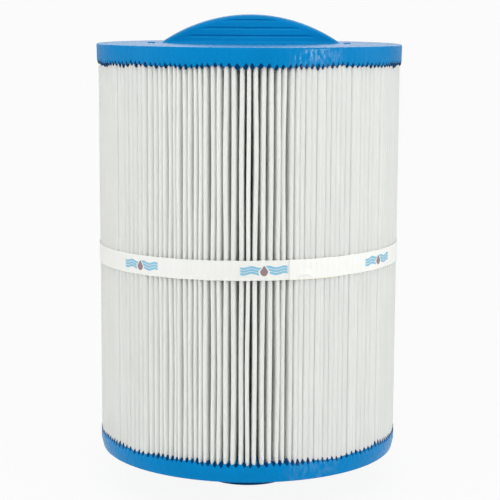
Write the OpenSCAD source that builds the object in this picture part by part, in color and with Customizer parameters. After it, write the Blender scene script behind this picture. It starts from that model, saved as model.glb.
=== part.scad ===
// Pleated filter cartridge for a spa or a small pool.
// Two cast end caps hold a ring of pleated media around a perforated core.
// The cartridge screws into its housing by the threaded spigot under the bottom cap.
// +Z runs from the spigot's free end to the grip, and the grip lies along X.

/* [Overall] */
// Diameter of the top end cap
cap_d = 152.4; // [120:0.1:190]
// Length between the outer faces of the two end caps
body_len = 204.8; // [120:0.1:320]

/* [End caps] */
// Height of the top cap's side wall
top_rim_h = 8.5; // [7:0.1:14]
// Height of the bottom cap's side wall
bottom_rim_h = 8.9; // [7:0.1:14]
// How much smaller than the top cap the bottom cap's radius is
bottom_step = 0.6; // [0:0.1:0.8]
// Radius of the caps' rounded outer edges
edge_r = 1; // [0.4:0.1:2]
// How far the pleat tips stay inside the top cap's side wall
tip_inset = 0.9; // [0.9:0.1:2]
// Solid thickness of the top cap above the core plug
top_floor_t = 3; // [2:0.1:3.4]
// Solid thickness of the bottom cap under the adapter's flange
bottom_floor_t = 2; // [1:0.1:2.5]
// Distance of the two vent nubs from the axis
nub_x = 49; // [49:0.5:58]
// Diameter of a vent nub
nub_d = 3.6; // [2:0.1:5]
// Height of a vent nub
nub_h = 0.6; // [0.3:0.1:1.5]

/* [Grip] */
// Length of the grip fin where it meets the cap
grip_len = 92; // [60:1:94]
// Height of the grip fin above the cap
grip_h = 14.4; // [8:0.1:24]
// Thickness of the fin at the middle of its base
grip_base_t = 17; // [12:0.5:24]
// Thickness of the fin's crest
grip_crest_t = 8; // [5:0.5:11]
// Thickness of the fin at its two ends
grip_end_t = 5; // [3:0.5:9]
// Number of grip grooves on each side
groove_count = 3; // [1:1:5]
// Height of the lowest groove above the cap
groove_first_h = 3.6; // [2:0.1:5]
// Distance between grooves
groove_pitch = 3.9; // [2.5:0.1:5]
// Width of a groove
groove_w = 1.3; // [0.6:0.1:2]
// Depth of a groove
groove_depth = 0.7; // [0.3:0.1:1.5]
// Plain margin between a groove's end and the fin's outline
groove_margin = 5.5; // [2:0.1:7]

/* [Core] */
// Outside diameter of the core tube
core_d = 56; // [44:0.5:70]
// Wall of the core tube
core_wall = 2.5; // [1.5:0.1:4]
// Diameter of the core's flow holes
hole_d = 8; // [4:0.5:9]
// Flow holes in one row
hole_columns = 12; // [8:1:14]
// Distance between rows of holes
hole_row_pitch = 14; // [11:0.5:24]
// Plain length at each end of the core
hole_margin = 14; // [12:0.5:30]
// Clearance between the core and what plugs into it
core_fit = 0.1; // [0.05:0.05:0.4]
// Thickness of the core plug's disc
plug_t = 1.6; // [1:0.1:2.5]
// Depth of the core plug's skirt
plug_depth = 6; // [3:0.5:10]
// Wall of the core plug's skirt
plug_wall = 1.8; // [1:0.1:3]

/* [Media] */
// Thickness of the filter fabric
media_t = 0.42; // [0.3:0.02:0.7]
// Free gap on each side of a leg where the pleats are packed at the core
fold_gap = 0.15; // [0.1:0.01:0.4]
// Gap between the core and the inner folds
core_gap = 0.4; // [0:0.1:1]
// Width of an outer fold
tip_w = 1.12; // [1:0.02:1.6]
// Thickness of the glue in the seam at the pleat tips
seam_t = 0.6; // [0.4:0.1:1]
// How far the pleats' lower end stays above the adapter's flange
pot_floor = 0.4; // [0.2:0.1:1]

/* [Band] */
// Width of the retaining band
band_w = 9.4; // [6:0.1:14]
// Thickness of the band
band_t = 0.25; // [0.15:0.05:0.3]
// Height of the band's middle above the bottom cap's outer face
band_z = 101.4; // [40:0.1:140]
// Angle from the front at which the band's outer end shows
lap_start_a = 14.6; // [0:0.1:60]
// Angle that the band's two ends overlap
lap_a = 20; // [10:1:40]
// Thickness of the glue between the band's ends
lap_glue_t = 0.1; // [0.05:0.05:0.2]
// Plain edge around the glue
lap_glue_edge = 0.7; // [0.3:0.1:2]

/* [Thread] */
// Diameter of the spigot's plain land, that of a 1 1/2 in pipe thread
thread_d = 48.26; // [40:0.01:60]
// Distance between turns, 11 1/2 to the inch
thread_pitch = 2.209; // [1.8:0.001:3]
// Growth of the thread's radius with height, 1 in 32
thread_taper = 0.03125; // [0:0.00125:0.05]
// Depth of the thread
thread_depth = 1.3; // [0.8:0.05:1.35]
// Length of the spigot below the bottom cap
spigot_len = 17.5; // [12:0.5:30]
// Wall between the thread's root and the outlet bore
spigot_wall = 3.8; // [2.5:0.1:6]
// Plain length between the thread and the cap
thread_relief = 2.5; // [1.5:0.1:4]
// Chamfer at the spigot's free end
spigot_chamfer = 1; // [0.4:0.1:1.5]
// How much further the spigot reaches out where the cap grips it
neck_step = 1; // [0.5:0.1:1.5]
// Thickness of the flange cast into the bottom cap
flange_t = 2.5; // [1.5:0.1:3]
// How far the flange reaches past what it anchors
anchor_lip = 2; // [1:0.1:4]
// Height of the collar that the core slides over
collar_h = 8; // [5:0.5:11]

/* [Hidden] */

$fn = 96;
thread_fn = 24; // facets in one turn of the thread groove
overcut = 1; // how far a cutter runs past what it cuts
lean = 30; // half angle of the thread's V
root_flat = 0.1; // half of the flat at the thread's root
thread_runout = 1; // turns over which the groove fades
thread_clear = 0.25; // how far the groove's cutter stands out of the crests
fade_lift = 0.05; // how far the cutter's root ends up outside the crests
nub_sink = 0.5; // how deep a nub is rooted in the cap
seam_side = 90; // azimuth of the media's seam, at the back
front = -90; // azimuth of the front

// Heights along the axis
seat_z = spigot_len;
top_z = seat_z + body_len;
bottom_rim_z = seat_z + bottom_rim_h;
top_rim_z = top_z - top_rim_h;
flange_z = seat_z + bottom_floor_t;
land_z = spigot_len - thread_relief;
core_z0 = flange_z + flange_t;
core_z1 = top_z - top_floor_t - plug_t;
media_z0 = core_z0 + pot_floor;
media_z1 = core_z1;

// Radii
cap_r = cap_d / 2;
bottom_cap_r = cap_r - bottom_step;
core_r = core_d / 2;
core_ir = core_r - core_wall;
thread_r = thread_d / 2;
spigot_end_r = thread_r - land_z * thread_taper;
bore_r = thread_r - thread_depth - spigot_wall;
neck_r = thread_r + neck_step;
flange_r = max(neck_r, core_r) + anchor_lip;
collar_r = core_ir - core_fit;
plug_r = core_ir - core_fit;
fold_r = core_r + core_gap;
tip_r = cap_r - tip_inset;

// Pleats: as many as their folded thickness allows around the core
pleat_count = floor(2 * PI * fold_r / (2 * (media_t + fold_gap)));
pleat_a = 360 / pleat_count;

// Grip: the fin's outline is one arc, whose middle lies below the cap
grip_r = (pow(grip_len / 2, 2) + pow(grip_h, 2)) / (2 * grip_h);
grip_z = top_z + grip_h - grip_r;

function polar(r, a) = [r * cos(a), r * sin(a)];
function arc_angle(w, r) = w / r * 180 / PI;

// Sideways wander of a pleat tip, in pleat pitches, from its number
function wander(i) =
    let (u = pleat_a * i)
    0.4 * sin(8 * u) - 0.3 * sin(5 * u) + 0.06 * sin(23 * u) + 0.07 * sin(41 * u) + 0.05 * sin(67 * u);

function tip_at(i) = seam_side + pleat_a * (i + wander(i));
function fold_at(i) = seam_side + pleat_a * (i + 0.5);

// Outer face of the fabric: the valley after each tip, then the next tip
function outer_face() =
    let (
        tip = arc_angle(tip_w / 2, tip_r),
        valley = arc_angle(fold_gap / 2, fold_r + media_t),
        open = arc_angle(seam_t / 2 + media_t, tip_r)
    )
    [
        polar(tip_r, seam_side + open),
        for (i = [0 : pleat_count - 1]) each [
            polar(fold_r + media_t, fold_at(i) - valley),
            polar(fold_r + media_t, fold_at(i) + valley),
            if (i < pleat_count - 1) each [
                polar(tip_r, tip_at(i + 1) - tip),
                polar(tip_r, tip_at(i + 1) + tip)
            ]
        ],
        polar(tip_r, seam_side - open)
    ];

// Inner face of the fabric, in the same order
function inner_face() =
    let (
        tip = arc_angle(tip_w / 2 - media_t, tip_r - media_t),
        fold = arc_angle(fold_gap / 2 + media_t, fold_r),
        open = arc_angle(seam_t / 2, tip_r)
    )
    [
        polar(tip_r, seam_side + open),
        for (i = [0 : pleat_count - 1]) each [
            polar(fold_r, fold_at(i) - fold),
            polar(fold_r, fold_at(i) + fold),
            if (i < pleat_count - 1) each [
                polar(tip_r - media_t, tip_at(i + 1) - tip),
                polar(tip_r - media_t, tip_at(i + 1) + tip)
            ]
        ],
        polar(tip_r, seam_side - open)
    ];

function reversed(list) = [for (i = [len(list) - 1 : -1 : 0]) list[i]];

module pleat_outline() {
    polygon(concat(outer_face(), reversed(inner_face())));
}

// The glued slot between the fabric's two end legs
module seam_outline() {
    inner = inner_face();
    last = len(inner) - 1;
    polygon([inner[0], inner[1], inner[last - 1], inner[last]]);
}

// Room that the potted ends of the fabric and its seam take up in a cap
module potted_ends() {
    translate([0, 0, media_z0]) linear_extrude(media_z1 - media_z0) {
        pleat_outline();
        seam_outline();
    }
}

// A half section of a disc with one rounded outer edge, at its top
module disc_section(r, h) {
    square([r - edge_r, h]);
    square([r, h - edge_r]);
    translate([r - edge_r, h - edge_r]) circle(edge_r);
}

// The fin without its grooves, made thinner on both sides by inset
module grip_body(inset) {
    side_r = function (t) (pow(grip_len / 2, 2) + pow(t / 2, 2)) / t;
    bulge = grip_base_t - grip_end_t;
    lens_r = side_r(bulge);
    half_crest = grip_crest_t / 2 - inset;
    half_base = grip_base_t / 2 - inset;
    round_r = half_crest / 2;
    intersection() {
        translate([0, 0, grip_z]) rotate([90, 0, 0]) rotate_extrude(angle = 180) {
            polygon([
                [0, -half_base],
                [grip_r - grip_h, -half_base],
                [grip_r - round_r, -half_crest],
                [grip_r - round_r, half_crest],
                [grip_r - grip_h, half_base],
                [0, half_base]
            ]);
            translate([grip_r - round_r, -half_crest + round_r]) square([round_r, 2 * (half_crest - round_r)]);
            for (side = [-1, 1])
                translate([grip_r - round_r, side * (half_crest - round_r)]) circle(round_r);
        }
        translate([0, 0, top_z - overcut]) intersection() {
            for (side = [-1, 1])
                translate([0, side * (lens_r - grip_base_t / 2 + inset), 0])
                    cylinder(r = lens_r, h = grip_h + 2 * overcut);
        }
    }
}

module grip_fin() {
    difference() {
        grip_body(0);
        difference() {
            intersection() {
                for (i = [0 : groove_count - 1])
                    translate([0, 0, top_z + groove_first_h + i * groove_pitch])
                        cube([grip_len, grip_base_t + overcut, groove_w], center = true);
                translate([0, 0, grip_z]) rotate([90, 0, 0])
                    cylinder(r = grip_r - groove_margin, h = grip_base_t + 2 * overcut, center = true);
            }
            grip_body(groove_depth);
        }
    }
}

module top_end_cap() {
    color([0.01, 0.47, 0.75]) {
        difference() {
            translate([0, 0, top_rim_z]) rotate_extrude() disc_section(cap_r, top_rim_h);
            translate([0, 0, top_rim_z - overcut]) cylinder(r = core_r, h = core_z1 + plug_t - top_rim_z + overcut);
            potted_ends();
        }
        grip_fin();
        for (side = [-1, 1])
            translate([side * nub_x, 0, top_z - nub_sink]) cylinder(d = nub_d, h = nub_h + nub_sink);
    }
}

module core_plug() {
    color([0.85, 0.87, 0.88]) {
        translate([0, 0, core_z1]) cylinder(r = core_r, h = plug_t);
        translate([0, 0, core_z1 - plug_depth]) difference() {
            cylinder(r = plug_r, h = plug_depth);
            translate([0, 0, -overcut]) cylinder(r = plug_r - plug_wall, h = plug_depth + overcut);
        }
    }
}

// Rows of flow holes, every second row turned by half a column
module core_holes() {
    length = core_z1 - core_z0 - 2 * hole_margin;
    rows = floor(length / hole_row_pitch);
    column_a = 360 / hole_columns;
    first = core_z0 + (core_z1 - core_z0 - rows * hole_row_pitch) / 2;
    for (row = [0 : rows], column = [0 : hole_columns - 1])
        rotate([0, 0, column_a * (column + (row % 2) / 2)])
            translate([core_ir - overcut, 0, first + row * hole_row_pitch])
                rotate([0, 90, 0]) cylinder(d = hole_d, h = core_wall + 2 * overcut);
}

module core_tube() {
    color([0.93, 0.94, 0.94]) difference() {
        translate([0, 0, core_z0]) cylinder(r = core_r, h = core_z1 - core_z0);
        translate([0, 0, core_z0 - overcut]) cylinder(r = core_ir, h = core_z1 - core_z0 + 2 * overcut);
        core_holes();
    }
}

module pleated_media() {
    color([0.93, 0.94, 0.92]) translate([0, 0, media_z0]) linear_extrude(media_z1 - media_z0) pleat_outline();
}

module media_seam() {
    color([0.9, 0.88, 0.78]) translate([0, 0, media_z0]) linear_extrude(media_z1 - media_z0) seam_outline();
}

// A ring section swept from one angle to another, angles counted from the front
module band_arc(r, t, from, to, w) {
    translate([0, 0, seat_z + band_z - w / 2]) rotate([0, 0, front + from])
        rotate_extrude(angle = to - from) translate([r, 0]) square([t, w]);
}

module retaining_band() {
    outer_r = tip_r + band_t + lap_glue_t;
    step_a = arc_angle(band_w / 4, tip_r);
    lap_end_a = lap_start_a + lap_a;
    color([0.96, 0.96, 0.94]) {
        band_arc(tip_r, band_t, 0, 360, band_w);
        band_arc(outer_r, band_t, lap_start_a, lap_end_a, band_w);
        band_arc(tip_r, outer_r - tip_r + band_t, lap_end_a - step_a, lap_end_a, band_w);
    }
}

module band_adhesive() {
    edge_a = arc_angle(lap_glue_edge, tip_r);
    step_a = arc_angle(band_w / 4, tip_r);
    color([0.93, 0.9, 0.78])
        band_arc(
            tip_r + band_t,
            lap_glue_t,
            lap_start_a + edge_a,
            lap_start_a + lap_a - step_a,
            band_w - 2 * lap_glue_edge
        );
}

module bottom_end_cap() {
    color([0.01, 0.47, 0.75]) difference() {
        translate([0, 0, bottom_rim_z]) mirror([0, 0, 1])
            rotate_extrude() disc_section(bottom_cap_r, bottom_rim_h);
        translate([0, 0, seat_z - overcut]) cylinder(r = neck_r, h = bottom_rim_h + overcut);
        translate([0, 0, flange_z]) cylinder(r = flange_r, h = flange_t);
        translate([0, 0, core_z0 - overcut / 2]) cylinder(r = core_r, h = bottom_rim_h);
        potted_ends();
    }
}

// A V-shaped coil that cuts the tapered thread, fading out before the plain land
module thread_groove() {
    turns = (land_z - thread_pitch / 2) / thread_pitch + 1;
    steps = floor(turns * thread_fn);
    fade_from = steps - thread_runout * thread_fn;
    points = [
        for (i = [0 : steps])
            let (
                a = i * 360 / thread_fn,
                z = (i / thread_fn - 1) * thread_pitch,
                crest_r = thread_r - (land_z - z) * thread_taper,
                outer_r = crest_r + thread_clear,
                fade = max(0, (i - fade_from) / (steps - fade_from)),
                root_r = crest_r - thread_depth * (1 - fade) + fade_lift * fade,
                half_w = root_flat + (outer_r - root_r) * tan(lean)
            )
            each [
                [root_r * cos(a), root_r * sin(a), z - root_flat],
                [root_r * cos(a), root_r * sin(a), z + root_flat],
                [outer_r * cos(a), outer_r * sin(a), z + half_w],
                [outer_r * cos(a), outer_r * sin(a), z - half_w]
            ]
    ];
    faces = [
        [0, 1, 2, 3],
        for (i = [0 : steps - 1], k = [0 : 3])
            let (n = (k + 1) % 4, p = 4 * i)
            each [[p + k, p + 4 + k, p + n], [p + n, p + 4 + k, p + 4 + n]],
        [4 * steps + 3, 4 * steps + 2, 4 * steps + 1, 4 * steps]
    ];
    polyhedron(points, faces);
}

module threaded_adapter() {
    color([0.01, 0.44, 0.71]) difference() {
        rotate_extrude() polygon([
            [bore_r, 0],
            [spigot_end_r - spigot_chamfer, 0],
            [spigot_end_r + spigot_chamfer * thread_taper, spigot_chamfer],
            [thread_r, land_z],
            [thread_r, seat_z],
            [neck_r, seat_z],
            [neck_r, flange_z],
            [flange_r, flange_z],
            [flange_r, core_z0],
            [collar_r, core_z0],
            [collar_r, core_z0 + collar_h],
            [bore_r, core_z0 + collar_h]
        ]);
        thread_groove();
    }
}

top_end_cap();
core_plug();
core_tube();
pleated_media();
media_seam();
retaining_band();
band_adhesive();
bottom_end_cap();
threaded_adapter();
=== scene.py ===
import math

import bpy
import numpy as np
from bpy.props import FloatProperty, FloatVectorProperty, IntProperty, PointerProperty
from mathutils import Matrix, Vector


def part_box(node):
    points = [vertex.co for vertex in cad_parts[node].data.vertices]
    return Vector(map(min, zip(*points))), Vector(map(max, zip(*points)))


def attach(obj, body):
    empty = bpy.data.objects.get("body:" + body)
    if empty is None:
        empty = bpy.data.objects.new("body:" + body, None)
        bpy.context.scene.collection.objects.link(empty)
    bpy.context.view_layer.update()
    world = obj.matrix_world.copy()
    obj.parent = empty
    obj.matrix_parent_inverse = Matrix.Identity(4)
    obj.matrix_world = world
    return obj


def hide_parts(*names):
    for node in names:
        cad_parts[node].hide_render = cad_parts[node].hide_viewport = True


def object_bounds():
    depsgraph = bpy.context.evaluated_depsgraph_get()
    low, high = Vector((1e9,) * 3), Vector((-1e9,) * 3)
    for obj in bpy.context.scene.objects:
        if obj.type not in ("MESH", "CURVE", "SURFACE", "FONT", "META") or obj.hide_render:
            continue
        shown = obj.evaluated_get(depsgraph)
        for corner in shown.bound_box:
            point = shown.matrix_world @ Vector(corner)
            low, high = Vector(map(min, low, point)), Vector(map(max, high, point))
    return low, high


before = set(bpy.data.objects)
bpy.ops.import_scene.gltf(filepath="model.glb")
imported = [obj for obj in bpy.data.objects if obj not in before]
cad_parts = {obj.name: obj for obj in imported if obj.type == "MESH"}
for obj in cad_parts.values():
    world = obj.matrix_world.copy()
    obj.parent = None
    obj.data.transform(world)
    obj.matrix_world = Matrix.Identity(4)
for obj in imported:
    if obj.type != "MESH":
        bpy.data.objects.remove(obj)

bl_info = {
    "name": "Pleated Filter Cartridge",
    "version": (1, 0, 0),
    "blender": (4, 5, 0),
    "location": "View3D > Sidebar > Cartridge",
    "description": "Builds a pleated filter cartridge with cast end caps round its frame",
    "category": "Add Mesh",
}

MM = 0.001
PALE = 0.965  # light of the seamless ground and air
BODY = "root"
CAD_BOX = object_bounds()
TOP_LOW, TOP_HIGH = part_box("top_end_cap")
BOTTOM_LOW, BOTTOM_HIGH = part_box("bottom_end_cap")
MEDIA_LOW, MEDIA_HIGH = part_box("pleated_media")
BAND_LOW, BAND_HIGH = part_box("retaining_band")

CAP_R = TOP_HIGH.x
BOTTOM_CAP_R = BOTTOM_HIGH.x
TIP_R = BAND_HIGH.y - 0.25 * MM  # the pleats' tips lie just under the band
CORE_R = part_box("core_tube")[1].x
SEAM_ANGLE = math.pi / 2
FRONT_ANGLE = -math.pi / 2
POLISHED_ANGLE = math.radians(24.5)  # from the front towards +X
POLISHED = (math.sin(POLISHED_ANGLE), -math.cos(POLISHED_ANGLE), 0)
OPEN_FROM, OPEN_TO = -37, 16.5  # degrees from the front between which the pleats stand apart
BAND_SLOPES = math.tan(math.radians(0.57)), -math.tan(math.radians(0.58))  # along X and Y
RIM_DEPTH, RIM_BAND = 1.2 * MM, 0.9 * MM  # how far a cap's pour line reaches in and up
GROOVES = 3  # in the grip fin
SPIN_STEPS = 1560  # ten a pleat, so that a cap's rim can follow the pleats
THROUGH_LIGHT = 0.45  # share of the light that passes through the media


# ---------------------------------------------------------------- settings


class CartridgeSizes(bpy.types.PropertyGroup):
    """Sizes that the frame leaves to the looks"""

    pleats: IntProperty(
        name="Pleats", description="Number of pleats in the media", default=156, min=24, max=400
    )
    tip_share: FloatProperty(
        name="Tip Share",
        description="Share of the pitch that an outer fold fills",
        default=0.965,
        min=0.3,
        max=0.99,
    )
    open_share: FloatProperty(
        name="Open Share",
        description="The same share at the front, where the pleats stand apart",
        default=0.62,
    )
    sway: FloatProperty(
        name="Sway",
        description="Sideways wander of a pleat between the caps",
        default=0.34 * MM,
        unit="LENGTH",
    )
    slack: FloatProperty(
        name="Slack",
        description="How far loose tips fall back from the band",
        default=0.3 * MM,
        unit="LENGTH",
    )
    grip_length: FloatProperty(
        name="Grip Length",
        description="Length of the grip fin at the cap",
        default=90.6 * MM,
        unit="LENGTH",
    )
    grip_shift: FloatProperty(
        name="Grip Shift",
        description="How far the grip fin stands off the axis",
        default=0.7 * MM,
        unit="LENGTH",
    )
    grip_height: FloatProperty(
        name="Grip Height", description="Height of the grip fin", default=14.4 * MM, unit="LENGTH"
    )
    grip_base: FloatProperty(
        name="Grip Base",
        description="Thickness of the fin's base at its middle",
        default=16 * MM,
        unit="LENGTH",
    )
    grip_end: FloatProperty(
        name="Grip End",
        description="Thickness of the fin's base at its ends",
        default=5 * MM,
        unit="LENGTH",
    )
    grip_crest: FloatProperty(
        name="Grip Crest",
        description="Share of the base thickness left at the crest",
        default=0.5,
        min=0.2,
        max=1,
    )
    groove_first: FloatProperty(
        name="First Groove",
        description="Height of the lowest grip groove",
        default=3.6 * MM,
        unit="LENGTH",
    )
    groove_pitch: FloatProperty(
        name="Groove Pitch",
        description="Distance between grip grooves",
        default=3.9 * MM,
        unit="LENGTH",
    )
    groove_depth: FloatProperty(
        name="Groove Depth", description="Depth of a grip groove", default=0.45 * MM, unit="LENGTH"
    )
    groove_margin: FloatProperty(
        name="Groove Margin",
        description="Plain border of the grooved area",
        default=7.5 * MM,
        unit="LENGTH",
    )
    nub_distance: FloatProperty(
        name="Nub Distance",
        description="Distance of the vent nubs from the axis",
        default=49 * MM,
        unit="LENGTH",
    )
    lap_start: FloatProperty(
        name="Lap Start",
        description="Angle of the band's outer end",
        default=math.radians(14.6),
        subtype="ANGLE",
    )
    lap_angle: FloatProperty(
        name="Lap",
        description="Angle that the band's ends overlap",
        default=math.radians(20),
        subtype="ANGLE",
    )
    mark_pitch: FloatProperty(
        name="Mark Pitch",
        description="Distance between printed marks",
        default=67.7 * MM,
        unit="LENGTH",
    )
    mark_angle: FloatProperty(
        name="Mark Angle",
        description="Angle of the front mark",
        default=math.radians(5.6),
        subtype="ANGLE",
    )


def colour(name, words, value):
    """A colour setting with the usual range."""
    usual = {"size": 3, "subtype": "COLOR", "min": 0, "max": 1}
    return FloatVectorProperty(name=name, description=words, default=value, **usual)


class CartridgeColours(bpy.types.PropertyGroup):
    """Colours of the cartridge's materials"""

    cap: colour("Cap", "Cast polyurethane of the end caps", (0.002, 0.176, 0.43))
    # the potting colour is the resin's own deep blue made darker still, as painted shade of the
    # shadowed pits between the pleats
    potting: colour("Potting", "Thick resin between the pleats", (0.0, 0.03, 0.1))
    adapter: colour("Adapter", "Moulded plastic of the threaded adapter", (0.0, 0.15, 0.42))
    media: colour("Media", "Spun-bonded polyester", (0.93, 0.94, 0.915))
    band: colour("Band", "Retaining strap", (0.72, 0.725, 0.69))
    ink: colour("Ink", "Printed waves on the strap", (0.1, 0.36, 0.53))
    accent: colour("Accent", "Printed drops on the strap", (0.14, 0.05, 0.065))
    core: colour("Core", "Moulded polypropylene of the core", (0.8, 0.81, 0.81))
    glue: colour("Glue", "Hot-melt glue", (0.8, 0.74, 0.55))


# ---------------------------------------------------------------- materials


class Wire:
    """A socket's value, on which sums are written as in plain Python."""

    def __init__(self, finish, socket):
        self.finish = finish
        self.socket = socket

    def math(self, operation, *others):
        values = dict(enumerate((self, *others)))
        return self.finish.node("ShaderNodeMath", {"operation": operation}, values)

    def __add__(self, other):
        return self.math("ADD", other)

    __radd__ = __add__

    def __mul__(self, other):
        return self.math("MULTIPLY", other)

    __rmul__ = __mul__

    def __sub__(self, other):
        return self.math("SUBTRACT", other)

    def __rsub__(self, other):
        return self.finish.node("ShaderNodeMath", {"operation": "SUBTRACT"}, {0: other, 1: self})

    def __truediv__(self, other):
        return self.math("DIVIDE", other)

    def __abs__(self):
        return self.math("ABSOLUTE")

    def ramp(self, low, high):
        """0 below low, 1 above high, and a smooth rise between."""
        return self.finish.node(
            "ShaderNodeMapRange",
            {"interpolation_type": "SMOOTHSTEP"},
            {"Value": self, "From Min": low, "From Max": high},
        )


class Finish:
    """A material whose nodes are made one by one."""

    def __init__(self, name):
        self.material = bpy.data.materials.new(name)
        self.material.use_nodes = True
        self.tree = self.material.node_tree
        self.surface = self.tree.nodes["Principled BSDF"]

    def node(self, kind, settings=None, values=None, out=0):
        """Adds a node, sets its settings, then its sockets, and gives one output."""
        made = self.tree.nodes.new(kind)
        for key, value in (settings or {}).items():
            setattr(made, key, value)
        for key, value in (values or {}).items():
            self.feed(made.inputs[key], value)
        return Wire(self, made.outputs[out])

    def feed(self, socket, value):
        if isinstance(value, Wire):
            self.tree.links.new(value.socket, socket)
        elif socket.type == "RGBA" and len(value) == 3:
            socket.default_value = (*value, 1)
        else:
            socket.default_value = value

    def set(self, **values):
        """Sets the surface's sockets, whose names are given with underscores."""
        for key, value in values.items():
            self.feed(self.surface.inputs[key.replace("_", " ")], value)

    def place(self, scale=(1, 1, 1)):
        """The piece's own coordinates in metres, stretched by scale."""
        where = self.node("ShaderNodeTexCoord", out="Object")
        return self.node("ShaderNodeMapping", {}, {"Vector": where, "Scale": scale})

    def noise(self, scale, detail=2, stretch=(1, 1, 1), roughness=0.5):
        """Cloudy noise from 0 to 1, with scale in cycles a metre."""
        values = {"Scale": scale, "Detail": detail, "Roughness": roughness}
        return self.node("ShaderNodeTexNoise", {}, {"Vector": self.place(stretch), **values})

    def cells(self, scale):
        """Distance from the nearest of many scattered points."""
        values = {"Vector": self.place(), "Scale": scale}
        return self.node("ShaderNodeTexVoronoi", {}, values, out="Distance")

    def vector(self, operation, *values, out=0):
        """Vector maths on one or two vectors."""
        return self.node(
            "ShaderNodeVectorMath", {"operation": operation}, dict(enumerate(values)), out=out
        )

    def blend(self, factor, second):
        """Mixes the surface with another shader on the way to the output."""
        values = {0: factor, 1: Wire(self, self.surface.outputs[0]), 2: second}
        both = self.node("ShaderNodeMixShader", {}, values)
        self.tree.links.new(both.socket, self.tree.nodes["Material Output"].inputs["Surface"])

    def mix(self, factor, first, second):
        """A colour between two colours."""
        made = self.tree.nodes.new("ShaderNodeMix")
        made.data_type = "RGBA"
        for key, value in ((0, factor), (6, first), (7, second)):
            self.feed(made.inputs[key], value)
        return Wire(self, made.outputs[2])

    def bump(self, height, distance, strength=1):
        """A normal that follows a height, whose full range is distance in metres."""
        values = {"Height": height, "Distance": distance, "Strength": strength}
        return self.node("ShaderNodeBump", {}, values, out="Normal")


def shade(value, factor):
    """A plain colour made lighter or darker."""
    return tuple(min(c * factor, 1) for c in value)


def cast_resin(name, base, rough=0.2):
    """Satin cast polyurethane: cloudy colour, fine orange peel, pinholes and a polished patch."""
    f = Finish(name)
    clouds = f.noise(55, 3)
    smear = f.noise(700, 3, (1, 1, 0.5))
    level = f.place((1, 1, 0))
    facing = f.vector("DOT_PRODUCT", f.vector("NORMALIZE", level), POLISHED, out="Value")
    outer = f.vector("LENGTH", level, out="Value").ramp(60 * MM, 70 * MM)
    f.set(
        Base_Color=f.mix(clouds * 0.7 + smear * 0.3, shade(base, 0.86), shade(base, 1.14)),
        Roughness=rough + 0.16 * f.noise(260, 4),
        Specular_IOR_Level=0.1,
        Specular_Tint=(0.05, 0.55, 0.9, 1),
        Coat_Weight=0.8 * smear.ramp(0.4, 0.62) * facing.ramp(0.975, 0.995) * outer,
        Coat_Roughness=0.14,
    )
    pinholes = 1 - f.cells(230).ramp(0.06, 0.14)
    peel = f.noise(900, 2)
    f.set(Normal=f.bump(peel * 0.25 + smear * 0.35 - pinholes, 0.05 * MM))
    return f.material


def bonded_fibre(name, base):
    """Spun-bonded polyester: short matted fibres, thin and thick patches, some light through it."""
    f = Finish(name)
    along = f.noise(1500, 4, (1, 1, 0.22), 0.6)
    across = f.noise(1300, 4, (0.35, 0.35, 1), 0.6)
    mat = along * 0.5 + across * 0.5
    patches = f.noise(140, 3, (1, 1, 0.4))
    f.set(
        Base_Color=f.mix(mat * 0.55 + patches * 0.45, shade(base, 0.93), shade(base, 1.06)),
        Roughness=0.78 + 0.16 * mat,
        Specular_IOR_Level=0.3,
        Normal=f.bump(mat, 0.06 * MM, 0.8),
    )
    through = f.node("ShaderNodeBsdfTranslucent", {}, {"Color": base})
    f.blend(THROUGH_LIGHT, through)
    return f.material


def strap_plastic(name, base, ink, accent, sizes):
    """Thin white strap with faint pleat lines and a printed row of wave marks."""
    f = Finish(name)
    where = f.node("ShaderNodeTexCoord", out="UV")
    along = f.node("ShaderNodeSeparateXYZ", {}, {"Vector": where}, out="X")
    across = Wire(f, along.socket.node.outputs["Y"])
    turn = 2 * math.pi + sizes.lap_angle
    spacing = sizes.mark_pitch / TIP_R
    start = sizes.lap_start + sizes.lap_angle - sizes.mark_angle
    creep = along.ramp(0.12, 0.14) * (1 - along.ramp(0.28, 0.3))  # one mark is printed late
    repeat = (start - along * turn) / spacing - creep * 0.0594 + 0.5
    x = (repeat.math("FLOORED_MODULO", 1.0) - 0.5) * (spacing * TIP_R / MM)
    y = (across - 0.5) * ((BAND_HIGH.z - BAND_LOW.z) / MM)
    wave = (x * 0.82).math("SINE") * 0.42
    stripe = abs(((y - wave) * (1 / 1.3)).math("FLOORED_MODULO", 1.0) - 0.5)
    strip = 1 - abs(x).ramp(10.6, 11.6)
    waves = stripe.ramp(0.05, 0.11) * (1 - abs(y - wave).ramp(1.95, 2.1)) * strip
    drop_y = y + 0.25
    lean = (drop_y * 0.5).math("MAXIMUM", 0.0)
    drop = ((x * (1 + lean)).math("POWER", 2.0) + (drop_y * 0.8).math("POWER", 2.0)).math("SQRT")
    clear = 1 - drop.ramp(2.5, 2.75)
    inside = 1 - drop.ramp(1.75, 2.0)
    print_mask = waves * (1 - clear)
    haze = f.noise(160, 3, (1, 1, 0.5))
    # the strap turns a little lighter along its run, from its back half on to its outer end over
    # the lap
    lighter_run = along.ramp(0.3, 0.7)
    ground = f.mix(haze * 0.35 + lighter_run * 0.65, shade(base, 0.92), shade(base, 0.99))
    f.set(
        Base_Color=f.mix(inside * 0.85, f.mix(print_mask * 0.88, ground, ink), accent),
        Roughness=0.42 + 0.12 * haze,
        Coat_Weight=0.1,
        Coat_Roughness=0.3,
        Normal=f.bump(f.noise(500, 3) + print_mask * 0.2, 0.03 * MM),
    )
    return f.material


def moulded_plastic(name, base, rough=0.38):
    """Injection-moulded plastic with a fine spark texture and faint flow lines."""
    f = Finish(name)
    flow = f.noise(90, 2, (1, 1, 0.3))
    f.set(
        Base_Color=f.mix(flow, shade(base, 0.94), shade(base, 1.05)),
        Roughness=rough + 0.1 * f.noise(300, 3),
        Normal=f.bump(f.noise(1400, 2), 0.02 * MM),
    )
    return f.material


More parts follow.
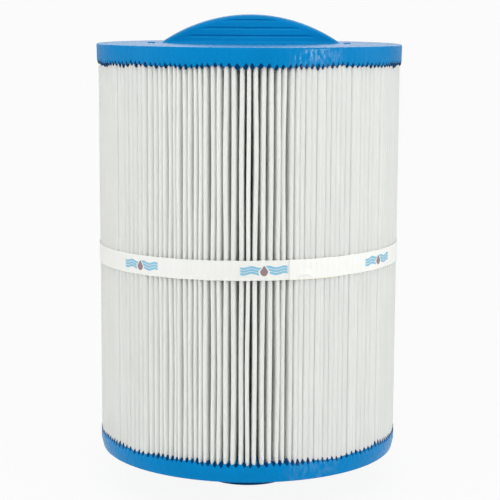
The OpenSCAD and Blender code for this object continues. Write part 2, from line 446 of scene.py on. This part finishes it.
def hot_melt(name, base):
    """Amber glue with soft lumps."""
    f = Finish(name)
    lumps = f.noise(260, 3)
    f.set(
        Base_Color=f.mix(lumps, shade(base, 0.85), shade(base, 1.08)),
        Roughness=0.3 + 0.15 * lumps,
        Normal=f.bump(lumps, 0.2 * MM),
    )
    return f.material


def studio_ground(name):
    """A pale seamless ground that stays near white and takes a faint shadow."""
    f = Finish(name)
    f.set(Base_Color=(0.9, 0.9, 0.9), Roughness=0.9)
    glow = f.node("ShaderNodeEmission", {}, {"Color": (1, 1, 1), "Strength": PALE})
    seen = f.node("ShaderNodeLightPath", out="Is Camera Ray")
    away = f.vector("LENGTH", f.place(), out="Value")
    f.blend(seen * (0.95 + 0.05 * away.ramp(0.12, 0.5)), glow)
    return f.material


# ---------------------------------------------------------------- mesh tools


def clear_selection():
    if bpy.context.mode != "OBJECT":
        bpy.ops.object.mode_set(mode="OBJECT")
    bpy.ops.object.select_all(action="DESELECT")


def select_only(piece):
    clear_selection()
    piece.select_set(True)
    bpy.context.view_layer.objects.active = piece


def points_of(piece):
    co = np.empty(len(piece.data.vertices) * 3)
    piece.data.vertices.foreach_get("co", co)
    return co.reshape(-1, 3)


def move_points(piece, co):
    piece.data.vertices.foreach_set("co", np.asarray(co, float).ravel())
    piece.data.update()


def grid_piece(name, columns, rows, place):
    """A grid whose points place() puts in space from their two shares, 0 to 1."""
    clear_selection()
    bpy.ops.mesh.primitive_grid_add(x_subdivisions=columns, y_subdivisions=rows, size=1)
    piece = bpy.context.object
    piece.name = name
    co = points_of(piece)
    move_points(piece, place(co[:, 0] + 0.5, co[:, 1] + 0.5))
    return piece


def mend(piece):
    """Merges doubles, drops flat slivers and turns the faces outwards."""
    select_only(piece)
    bpy.ops.object.mode_set(mode="EDIT")
    bpy.ops.mesh.select_all(action="SELECT")
    bpy.ops.mesh.remove_doubles(threshold=0.002 * MM)
    bpy.ops.mesh.dissolve_degenerate(threshold=0.001 * MM)
    bpy.ops.mesh.normals_make_consistent(inside=False)
    bpy.ops.object.mode_set(mode="OBJECT")


def turned_piece(name, section):
    """A closed half section, as (radius, height) points, turned round the axis."""
    clear_selection()
    bpy.ops.mesh.primitive_circle_add(vertices=len(section), radius=1, fill_type="NOTHING")
    piece = bpy.context.object
    piece.name = name
    move_points(piece, [(r, 0, z) for r, z in section])
    turn = {"axis": "Z", "angle": 2 * math.pi, "use_merge_vertices": True}
    apply(piece, "SCREW", steps=SPIN_STEPS, render_steps=SPIN_STEPS, **turn)
    mend(piece)
    return piece


def close_rim(piece):
    """Fills the open edge of a shell with one face."""
    select_only(piece)
    bpy.ops.object.mode_set(mode="EDIT")
    bpy.ops.mesh.select_mode(type="EDGE")
    bpy.ops.mesh.select_all(action="DESELECT")
    bpy.ops.mesh.select_non_manifold(extend=False)
    bpy.ops.mesh.edge_face_add()
    bpy.ops.mesh.select_mode(type="VERT")
    mend(piece)


def apply(piece, kind, **settings):
    """Adds a modifier and applies it."""
    select_only(piece)
    modifier = piece.modifiers.new(kind.title(), kind)
    for key, value in settings.items():
        setattr(modifier, key, value)
    bpy.ops.object.modifier_apply(modifier=modifier.name)


def weld(piece, other):
    """Unites other with piece and removes it."""
    apply(piece, "BOOLEAN", operation="UNION", solver="MANIFOLD", object=other)
    bpy.data.objects.remove(other)


def smooth(piece, degrees=35):
    select_only(piece)
    bpy.ops.object.shade_smooth_by_angle(angle=math.radians(degrees))


def finish_piece(piece, material, slot, *nodes):
    """Gives a new piece its material and its place in the frame."""
    piece.data.materials.clear()
    piece.data.materials.append(material)
    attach(piece, BODY)
    if nodes:
        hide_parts(*nodes)


def finish_node(name, material):
    """Gives a frame node a better material in the slots that it has."""
    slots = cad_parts[name].material_slots
    if not slots:
        raise RuntimeError(f"node {name} has no material slot")
    for s in slots:
        s.material = material


def rounded(radius, centre_r, centre_z, start, end, steps=6):
    """Points along an arc of a half section, angles in degrees."""
    angles = [math.radians(start + (end - start) * i / steps) for i in range(steps + 1)]
    return [(centre_r + radius * math.cos(a), centre_z + radius * math.sin(a)) for a in angles]


# ---------------------------------------------------------------- pleats


def wander(number, count):
    """Sideways wander of a pleat tip, in pleat pitches, the same as the frame's."""
    u = 2 * math.pi * number / count
    slow = 0.4 * np.sin(8 * u) - 0.3 * np.sin(5 * u)
    return slow + 0.06 * np.sin(23 * u) + 0.07 * np.sin(41 * u) + 0.05 * np.sin(67 * u)


def tip_angle(number, count):
    return SEAM_ANGLE + 2 * math.pi * (number + wander(number, count)) / count


def fold_angle(number, count):
    return SEAM_ANGLE + 2 * math.pi * (number + 0.5) / count


def apart(number, count):
    """1 where the pleats stand apart, at the front, and 0 where they lie close, all round."""
    theta = (np.degrees(tip_angle(number, count) - FRONT_ANGLE) + 180) % 360 - 180
    return 1 / (1 + np.exp(-(theta - OPEN_FROM) / 3)) / (1 + np.exp((theta - OPEN_TO) / 1.2))


def tip_widths(number, sizes):
    """Width of the outer folds."""
    pitch = (tip_angle(number + 1, sizes.pleats) - tip_angle(number - 1, sizes.pleats)) / 2 * TIP_R
    spread = apart(number, sizes.pleats)
    return pitch * (sizes.tip_share + (sizes.open_share - sizes.tip_share) * spread)


def band_height(x, y):
    """Height of the band's middle at a place: the strap lies a little out of level."""
    middle = (BAND_LOW.z + BAND_HIGH.z) / 2
    return middle + BAND_SLOPES[1] * y + BAND_SLOPES[0] * x


def pleat_points(columns_each, sizes):
    """A placing function that folds a flat grid into the ring of pleats."""
    count = sizes.pleats
    half = columns_each // 2
    half_widths = tip_widths(np.arange(count + 1), sizes) / 2
    round_tips = half_widths * (0.3 + 1.9 * apart(np.arange(count + 1), count))
    sides = np.array([0.0, 0.5, 0.86, 1.0])
    depths = np.array([0.0, 0.12, 0.43, 1.0])
    leg_shares = np.array([0.1, 0.5, 1.0])
    fold_r = CORE_R + 0.8 * MM
    length = MEDIA_HIGH.z - MEDIA_LOW.z

    def place(u, v):
        column = np.rint(u * count * columns_each).astype(int)
        tip = (column + half) // columns_each
        step = column - tip * columns_each
        side = np.sign(step)
        rank = np.abs(step)
        z = MEDIA_LOW.z + v * length
        free = np.sin(2 * math.pi * v) ** 2
        loose = 0.3 + 0.7 * apart(tip, count)
        quick = np.sin(2.31 * tip + 1.1 + 0.8 * v)
        slow = 0.6 * np.sin(0.77 * tip + 4.0 * v)
        sway = sizes.sway * loose * free * (quick + slow)
        back = sizes.slack * loose * (0.3 + 0.7 * free) * (0.5 + 0.5 * np.sin(1.73 * tip + 2.2 * v))
        a = tip_angle(tip, count)
        off_band = z - band_height(TIP_R * np.cos(a), TIP_R * np.sin(a))
        at_band = np.exp(-((off_band / (9 * MM)) ** 2))
        tip_r = TIP_R - 0.04 * MM - back * (1 - at_band)
        a = a + sway * (1 - at_band) / TIP_R
        curve = np.minimum(rank, 3)
        lean = 1 + 0.35 * side * apart(tip, count)
        depth = depths[curve] * round_tips[tip] * lean
        aside = sides[curve] * half_widths[tip] * side
        ends = (tip == 0) | (tip == count)
        edge = ends & (rank == 0)
        aside = np.where(edge, np.where(tip == 0, 0.32, -0.32) * MM, aside)
        r = tip_r - depth
        x = r * np.cos(a) - aside * np.sin(a)
        y = r * np.sin(a) + aside * np.cos(a)
        fold_a = fold_angle(tip - np.where(side > 0, 0, 1), count)
        share = np.where(rank > 3, leg_shares[np.clip(rank - 4, 0, 2)], 0.0)
        bow = 0.25 * MM * np.sin(math.pi * share) * side * (0.6 + 0.4 * np.sin(1.31 * tip + 5 * v))
        x = x + (fold_r * np.cos(fold_a) - x) * share - bow * np.sin(a)
        y = y + (fold_r * np.sin(fold_a) - y) * share + bow * np.cos(a)
        return np.stack([x, y, z], 1)

    return place


# ---------------------------------------------------------------- pieces


class CARTRIDGE_OT_media(bpy.types.Operator):
    """Fold the media sheet into pleats"""

    bl_idname = "cartridge.media"
    bl_label = "Pleated Media"

    def execute(self, context):
        sizes, colours = context.scene.cartridge_sizes, context.scene.cartridge_colours
        columns, rows = 12, 50  # columns of one pleat
        place = pleat_points(columns, sizes)
        media = grid_piece("pleated_sheet", columns * sizes.pleats, rows, place)
        select_only(media)
        bpy.ops.object.shade_smooth()
        fibre = bonded_fibre("bonded_fibre", colours.media)
        finish_piece(media, fibre, "media_white", "pleated_media")
        return {"FINISHED"}


def grip_points(sizes, face_z):
    """A placing function that wraps a flat grid round the grip fin."""
    chord, height = sizes.grip_length / 2, sizes.grip_height
    radius = (chord**2 + height**2) / (2 * height)
    reach = chord + 0.9 * MM
    sink, flare = 1.5 * MM, 1.4 * MM  # how deep it is rooted, and the fillet at its foot
    crest = 0.22  # share of a side's points that go to the rounded crest

    def place(u, v):
        x = reach * np.sin((u - 0.5) * math.pi)
        top = np.sqrt(radius**2 - x**2) - (radius - height)
        lens = sizes.grip_end / 2 + (sizes.grip_base - sizes.grip_end) / 2 * (1 - (x / reach) ** 2)
        side, share = np.sign(v - 0.5), np.abs(v - 0.5) * 2
        crest_r = np.minimum(2.2 * MM, 0.7 * (top + sink))
        angle = np.minimum(share / crest, 1) * math.pi / 2
        fall = np.clip((share - crest) / (1 - crest), 0, 1)
        shoulder = top - crest_r
        on_crest = top - crest_r * (1 - np.cos(angle))
        h = np.where(share < crest, on_crest, shoulder + (-sink - shoulder) * fall)
        taper = 1 - (1 - sizes.grip_crest) * np.clip(h, 0, None) / height
        flank = lens * taper
        low = np.clip(1 - h / flare, 0, 1)
        flank = flank + flare * (1 - np.sqrt(1 - low**2))
        lane = np.zeros_like(h)
        for i in range(GROOVES):
            off = np.abs(h - sizes.groove_first - i * sizes.groove_pitch)
            lane = np.maximum(lane, 1 - off / (0.65 * MM))
        outline = np.sqrt(np.clip(radius**2 - (h + radius - height) ** 2, 0, None))
        inside = np.clip((outline - sizes.groove_margin - np.abs(x)) / (3.5 * MM), 0, 1)
        flank = flank - sizes.groove_depth * np.clip(lane * 1.6, 0, 1) * inside
        y = np.where(share < crest, flank * np.sin(angle), flank) * side
        return np.stack([x + sizes.grip_shift, y, face_z + h], 1)

    return place


def pour_line(a):
    """How far a cap's pour line swells at an angle."""
    slow = np.sin(9 * a + 1) + 0.8 * np.sin(23 * a + 2)
    return 0.26 * MM * (slow + 0.6 * np.sin(61 * a) + 0.5 * np.sin(107 * a + 3))


def uneven_rim(piece, rim_z, radius, way, sizes):
    """Makes a cap's pour line uneven: it swells and sinks, and draws back between the pleats."""
    co = points_of(piece)
    r, a = np.hypot(co[:, 0], co[:, 1]), np.arctan2(co[:, 1], co[:, 0])
    near = (r > radius - RIM_DEPTH) & (np.abs(co[:, 2] - rim_z) < RIM_BAND)
    number = ((a - SEAM_ANGLE) / (2 * math.pi) * sizes.pleats) % sizes.pleats
    phase = number - wander(number, sizes.pleats)
    notch = np.clip(-np.cos(2 * math.pi * phase), 0, 1) ** 0.7
    co[near, 2] += way * ((0.3 - 1.35 * notch) * MM + pour_line(a))[near]
    move_points(piece, co)


class CARTRIDGE_OT_top_cap(bpy.types.Operator):
    """Cast the top end cap with its grip fin and vent nubs"""

    bl_idname = "cartridge.top_cap"
    bl_label = "Top End Cap"

    def execute(self, context):
        sizes, colours = context.scene.cartridge_sizes, context.scene.cartridge_colours
        face_z, rim_z = TOP_HIGH.z - sizes.grip_height, TOP_LOW.z
        edge, lip = 0.9 * MM, 0.5 * MM
        section = [(0, rim_z), (CORE_R, rim_z), (CAP_R - 3 * MM, rim_z)]
        section += rounded(lip, CAP_R - lip - 0.15 * MM, rim_z + lip, -90, 0, 4)
        section += rounded(edge, CAP_R - edge, face_z - edge, 0, 90)
        section += [(CAP_R - 4 * MM, face_z), (CORE_R, face_z), (0, face_z)]
        cap = turned_piece("top_cap_casting", section)
        uneven_rim(cap, rim_z, CAP_R, -1, sizes)
        grip = grid_piece("grip_fin", 132, 120, grip_points(sizes, face_z))
        close_rim(grip)
        weld(cap, grip)
        for side in (-1, 1):
            clear_selection()
            middle = (side * sizes.nub_distance, 0, face_z - 0.2 * MM)
            bpy.ops.mesh.primitive_cylinder_add(
                vertices=32, radius=1.8 * MM, depth=1.6 * MM, location=middle
            )
            nub = bpy.context.object
            bpy.ops.object.transform_apply(location=True, rotation=True, scale=True)
            apply(nub, "BEVEL", width=0.35 * MM, segments=3)
            weld(cap, nub)
        smooth(cap)
        finish_piece(cap, cast_resin("cast_resin", colours.cap), "cap_blue", "top_end_cap")
        return {"FINISHED"}


class CARTRIDGE_OT_bottom_cap(bpy.types.Operator):
    """Cast the bottom end cap round the adapter"""

    bl_idname = "cartridge.bottom_cap"
    bl_label = "Bottom End Cap"

    def execute(self, context):
        low, high = BOTTOM_LOW.z, BOTTOM_HIGH.z
        bore = CORE_R - 2.87 * MM
        edge, lip, draft, r = 0.8 * MM, 0.5 * MM, 0.9 * MM, BOTTOM_CAP_R
        recess = low + 0.35 * MM  # a shallow ring in the underside
        section = [(bore, high), (bore, low + 0.3 * MM), (bore + 0.3 * MM, low)]
        section += [(36 * MM, low), (36.6 * MM, recess), (66.4 * MM, recess), (67 * MM, low)]
        section += [(r - 3 * MM, low)]
        section += rounded(edge, r - draft - edge, low + edge, -90, 0)
        section += [(r - 0.05 * MM, MEDIA_LOW.z - 0.4 * MM)]
        section += rounded(lip, r - lip - 0.1 * MM, high - lip, 0, 90, 4)
        section += [(r - 3 * MM, high), (CORE_R, high)]
        cap = turned_piece("bottom_cap_casting", section)
        uneven_rim(cap, high, r, 1, context.scene.cartridge_sizes)
        smooth(cap)
        finish_piece(cap, bpy.data.materials["cast_resin"], "cap_blue", "bottom_end_cap")
        return {"FINISHED"}


def bead_ring(name, rim_z, rim_r, way, sizes, material):
    """Resin beads that rise between the pleats at a cap's rim, darkened as painted shade of the
    shadowed pits there; way is -1 under the top cap.
    """
    rng = np.random.default_rng(12 + way)
    count = sizes.pleats
    clear_selection()
    bpy.ops.mesh.primitive_uv_sphere_add(segments=10, ring_count=7, radius=1)
    model = bpy.context.object
    shape = points_of(model).copy()
    beads = []
    for i in range(count):
        first, second = tip_angle(i, count), tip_angle(i + 1, count)
        a = (first + second) / 2
        pitch = (second - first) * TIP_R
        clump = max(0.0, math.sin(0.61 * i + way) + math.sin(0.23 * i + 2))
        big = (1.0 if rng.random() > 0.12 else 1.3) * (1 + 0.2 * clump)
        wide, tall = pitch * rng.uniform(0.3, 0.4) * big, rng.uniform(1.2, 1.75) * MM * big
        half = np.array([0.7 * MM, wide, tall])
        r = rim_r - 0.72 * MM + rng.uniform(-0.08, 0.06) * MM
        z = rim_z + way * (rng.uniform(-0.45, 0.25) * MM + pour_line(a))
        co = shape * half
        co[:, 1] *= 1 - 0.45 * np.clip(way * shape[:, 2], 0, 1)
        c, s = np.cos(a), np.sin(a)
        turned = np.stack(
            [co[:, 0] * c - co[:, 1] * s, co[:, 0] * s + co[:, 1] * c, co[:, 2]], 1
        )
        bead = model.copy()
        bead.data = model.data.copy()
        bpy.context.collection.objects.link(bead)
        move_points(bead, turned + np.array([r * math.cos(a), r * math.sin(a), z]))
        beads.append(bead)
    bpy.data.objects.remove(model)
    clear_selection()
    for bead in beads:
        bead.select_set(True)
    bpy.context.view_layer.objects.active = beads[0]
    bpy.ops.object.join()
    ring = bpy.context.object
    ring.name = name
    bpy.ops.object.shade_smooth()
    finish_piece(ring, material, "cap_blue")


class CARTRIDGE_OT_potting(bpy.types.Operator):
    """Add the resin beads between the pleats at both caps, darkened as painted shade"""

    bl_idname = "cartridge.potting"
    bl_label = "Potting Beads"

    def execute(self, context):
        sizes, colours = context.scene.cartridge_sizes, context.scene.cartridge_colours
        # the beads' dark colour is partly the thick resin's own and partly painted shade of the
        # pits between the pleats
        material = cast_resin("resin_and_painted_shade", colours.potting, 0.22)
        bead_ring("top_beads_and_painted_shade", TOP_LOW.z, TIP_R + 0.72 * MM, -1, sizes, material)
        bead_ring("bottom_beads_and_painted_shade", BOTTOM_HIGH.z, TIP_R + 0.3 * MM, 1, sizes, material)
        return {"FINISHED"}


class CARTRIDGE_OT_band(bpy.types.Operator):
    """Wrap the retaining band round the pleats"""

    bl_idname = "cartridge.band"
    bl_label = "Retaining Band"

    def execute(self, context):
        sizes, colours = context.scene.cartridge_sizes, context.scene.cartridge_colours
        turn = 2 * math.pi + sizes.lap_angle
        width = BAND_HIGH.z - BAND_LOW.z
        inner_end = sizes.lap_start + sizes.lap_angle

        def place(u, v):
            run = u * turn
            theta = inner_end - run
            a = FRONT_ANGLE + theta
            climb = np.clip((run - (2 * math.pi - 0.05)) / 0.05, 0, 1)
            over = climb * climb * (3 - 2 * climb)
            r = TIP_R + 0.02 * MM + 0.36 * MM * over
            r = r + 0.035 * MM * np.cos(sizes.pleats * theta)
            r = r + 0.03 * MM * np.sin(9 * theta + 3 * v)
            along = (theta + 2 * math.pi - math.radians(20.6)) / math.radians(2.7)
            crease = 0.1 + 0.13 * (1 - along**2) - v  # an arch near the lower edge
            slope = np.where(crease > 0, 0.05, 0.3)
            lift = np.exp(-((along / 0.9) ** 4)) * np.clip(1 - np.abs(crease) / slope, 0, 1)
            r = r + 0.42 * MM * over * lift
            x, y = r * np.cos(a), r * np.sin(a)
            ragged = 0.06 * MM * np.sin(31 * theta + 5 * v)
            z = band_height(x, y) + (v - 0.5) * width + ragged
            return np.stack([x, y, z], 1)

        columns, rows = 960, 36
        band = grid_piece("retaining_strap", columns, rows, place)
        mend_outward(band)
        apply(band, "SOLIDIFY", thickness=0.22 * MM, offset=1)
        smooth(band, 40)
        material = strap_plastic("strap_plastic", colours.band, colours.ink, colours.accent, sizes)
        finish_piece(band, material, "band_white", "retaining_band")
        return {"FINISHED"}


def mend_outward(piece):
    """Turns an open strip's faces away from the axis."""
    piece.data.update()
    face = piece.data.polygons[len(piece.data.polygons) // 2]
    if face.normal.dot(Vector((face.center.x, face.center.y, 0))) < 0:
        select_only(piece)
        bpy.ops.object.mode_set(mode="EDIT")
        bpy.ops.mesh.select_all(action="SELECT")
        bpy.ops.mesh.flip_normals()
        bpy.ops.object.mode_set(mode="OBJECT")


class CARTRIDGE_OT_inner(bpy.types.Operator):
    """Finish the core, its plug, the adapter and the glue lines"""

    bl_idname = "cartridge.inner"
    bl_label = "Core, Adapter and Glue"

    def execute(self, context):
        colours = context.scene.cartridge_colours
        core = moulded_plastic("core_polypropylene", colours.core)
        glue = hot_melt("hot_melt", colours.glue)
        finish_node("core_tube", core)
        finish_node("core_plug", core)
        finish_node("threaded_adapter", moulded_plastic("adapter_plastic", colours.adapter, 0.3))
        finish_node("media_seam", glue)
        finish_node("band_adhesive", glue)
        return {"FINISHED"}


# ---------------------------------------------------------------- stage


# name, azimuth and elevation in degrees, distance, width and height in metres, power in watts
SOFTBOXES = (
    ("left_box", -70, 10, 1.1, 1.0, 1.4, 8.2),
    ("right_box", 80, 8, 1.1, 1.0, 1.4, 5.6),
    ("rim_box", 49, 8, 1.2, 0.3, 0.45, 2.2),
    ("front_box", 8, 50, 1.5, 1.0, 0.8, 8.2),
    ("top_box", 0, 70, 1.3, 1.0, 1.0, 4),
    ("back_box", 180, 30, 1.3, 1.2, 0.8, 4),
)
AIR_LIGHT = 0.46  # light of the air on the cartridge
GROUND_SIZE = 60
CAMERA_LENS, CAMERA_SENSOR = 111.65, 36
CAMERA_SIDE, CAMERA_BACK, CAMERA_RISE = 0.25 * MM, 783.1 * MM, 223.9 * MM
CAMERA_TILT, CAMERA_ROLL = math.radians(8.99), math.radians(0.27)


def softbox(name, azimuth, elevation, distance, width, height, power):
    """An area light that faces the cartridge, azimuth in degrees from the front towards +X."""
    target = Vector((0, 0, (CAD_BOX[0][2] + CAD_BOX[1][2]) / 2))
    az, el = math.radians(azimuth), math.radians(elevation)
    way = Vector((math.sin(az) * math.cos(el), -math.cos(az) * math.cos(el), math.sin(el)))
    light = bpy.data.lights.new(name, "AREA")
    light.shape = "RECTANGLE"
    light.size, light.size_y, light.energy = width, height, power
    lamp = bpy.data.objects.new(name, light)
    lamp.location = target + way * distance
    lamp.rotation_euler = (-way).to_track_quat("-Z", "Y").to_euler()
    bpy.context.collection.objects.link(lamp)


class CARTRIDGE_OT_stage(bpy.types.Operator):
    """Set the ground, the lights and the camera"""

    bl_idname = "cartridge.stage"
    bl_label = "Stage"

    def execute(self, context):
        scene = context.scene
        clear_selection()
        bpy.ops.mesh.primitive_plane_add(size=GROUND_SIZE, location=(0, 0, CAD_BOX[0][2]))
        ground = bpy.context.object
        ground.name = "ground"
        ground.data.materials.append(studio_ground("studio_ground"))

        world = bpy.data.worlds.new("studio_air")
        world.use_nodes = True
        nodes, links = world.node_tree.nodes, world.node_tree.links
        air = nodes["Background"]
        air.inputs["Color"].default_value = (1, 1, 1, 1)
        path = nodes.new("ShaderNodeLightPath")
        strength = nodes.new("ShaderNodeMapRange")
        strength.inputs["To Min"].default_value = AIR_LIGHT
        strength.inputs["To Max"].default_value = PALE
        links.new(path.outputs["Is Camera Ray"], strength.inputs["Value"])
        links.new(strength.outputs["Result"], air.inputs["Strength"])
        scene.world = world

        for box in SOFTBOXES:
            softbox(*box)

        camera = bpy.data.cameras.new("studio_camera")
        camera.lens = CAMERA_LENS
        camera.sensor_width = CAMERA_SENSOR
        eye = bpy.data.objects.new("studio_camera", camera)
        eye.location = (CAMERA_SIDE, -CAMERA_BACK, BOTTOM_LOW.z + CAMERA_RISE)
        eye.rotation_euler = (math.pi / 2 - CAMERA_TILT, -CAMERA_ROLL, 0)
        bpy.context.collection.objects.link(eye)
        scene.camera = eye
        scene.view_settings.view_transform = "Standard"
        return {"FINISHED"}


PIECES = (
    CARTRIDGE_OT_stage,
    CARTRIDGE_OT_media,
    CARTRIDGE_OT_top_cap,
    CARTRIDGE_OT_bottom_cap,
    CARTRIDGE_OT_potting,
    CARTRIDGE_OT_band,
    CARTRIDGE_OT_inner,
)


class CARTRIDGE_PT_panel(bpy.types.Panel):
    """The cartridge's settings and pieces"""

    bl_label = "Filter Cartridge"
    bl_idname = "CARTRIDGE_PT_panel"
    bl_space_type = "VIEW_3D"
    bl_region_type = "UI"
    bl_category = "Cartridge"

    def draw(self, context):
        layout = self.layout
        for group in (context.scene.cartridge_sizes, context.scene.cartridge_colours):
            column = layout.column(align=True)
            for name in group.bl_rna.properties.keys():
                if name not in ("rna_type", "name"):
                    column.prop(group, name)
        for piece in PIECES:
            layout.operator(piece.bl_idname)


CLASSES = (CartridgeSizes, CartridgeColours, *PIECES, CARTRIDGE_PT_panel)


def register():
    for cls in CLASSES:
        bpy.utils.register_class(cls)
    bpy.types.Scene.cartridge_sizes = PointerProperty(type=CartridgeSizes)
    bpy.types.Scene.cartridge_colours = PointerProperty(type=CartridgeColours)


def unregister():
    del bpy.types.Scene.cartridge_colours
    del bpy.types.Scene.cartridge_sizes
    for cls in reversed(CLASSES):
        bpy.utils.unregister_class(cls)


def main():
    register()
    for piece in PIECES:
        family, name = piece.bl_idname.split(".")
        getattr(getattr(bpy.ops, family), name)()


if __name__ == "__main__":
    main()
